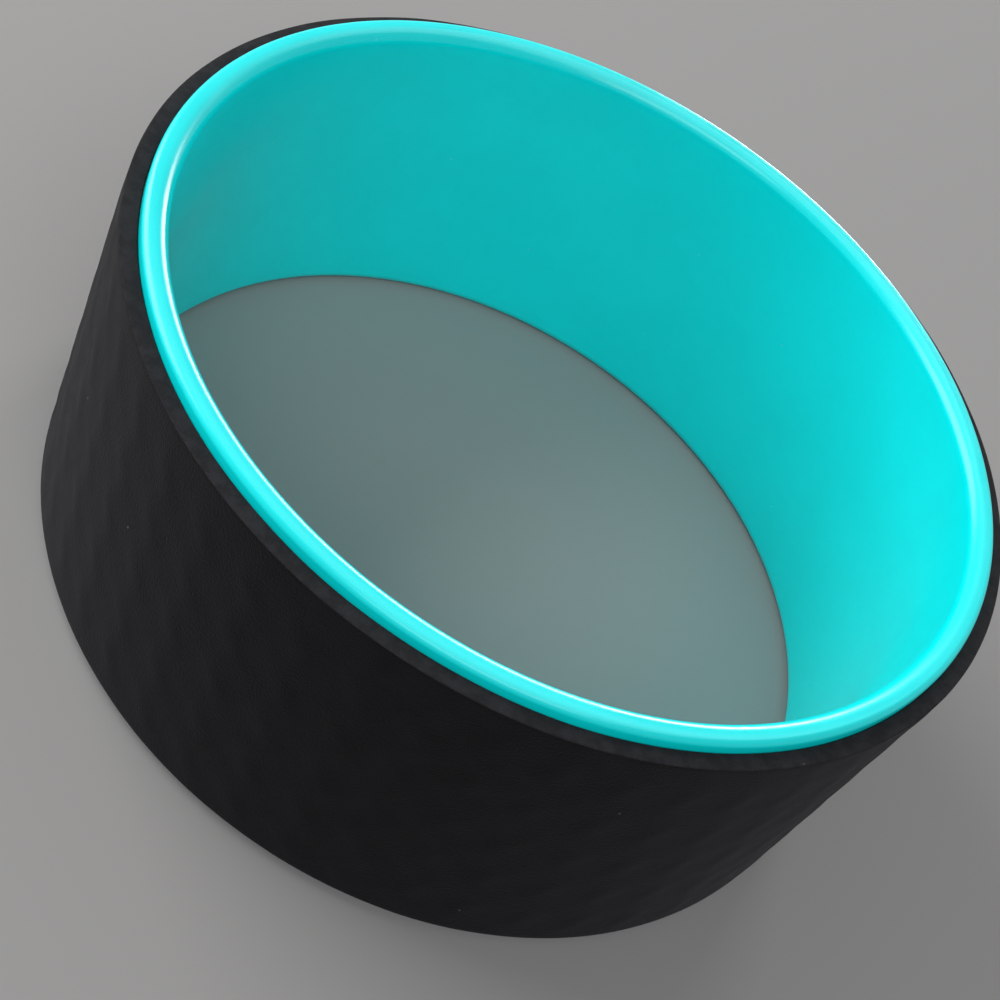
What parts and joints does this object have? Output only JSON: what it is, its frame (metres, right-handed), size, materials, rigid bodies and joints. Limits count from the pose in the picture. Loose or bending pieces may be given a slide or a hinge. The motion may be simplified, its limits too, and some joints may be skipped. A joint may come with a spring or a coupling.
{
  "type": "yoga wheel",
  "caption": "Wide rigid plastic hoop with rounded rims and a foam pad bonded round its outside, leaned on and rolled in back stretches and balance poses.",
  "frame": {"origin": "centre of the circle that the lower rim lies on, at floor level", "axes": "+Z along the wheel's axis, up from the lower rim to the upper rim; +Y towards the pad's butt seam"},
  "size_m": [0.33, 0.33, 0.13],
  "materials": {
    "hoop_plastic": "satin turquoise, moulded through",
    "pad_foam": "matte black closed-cell foam with a fine embossed grain",
    "adhesive": "cured contact adhesive"
  },
  "bodies": {
    "root": {"hoop": "hoop_plastic", "pad": "pad_foam", "bond_film": "adhesive", "seam_bond": "adhesive"}
  },
  "joints": []
}
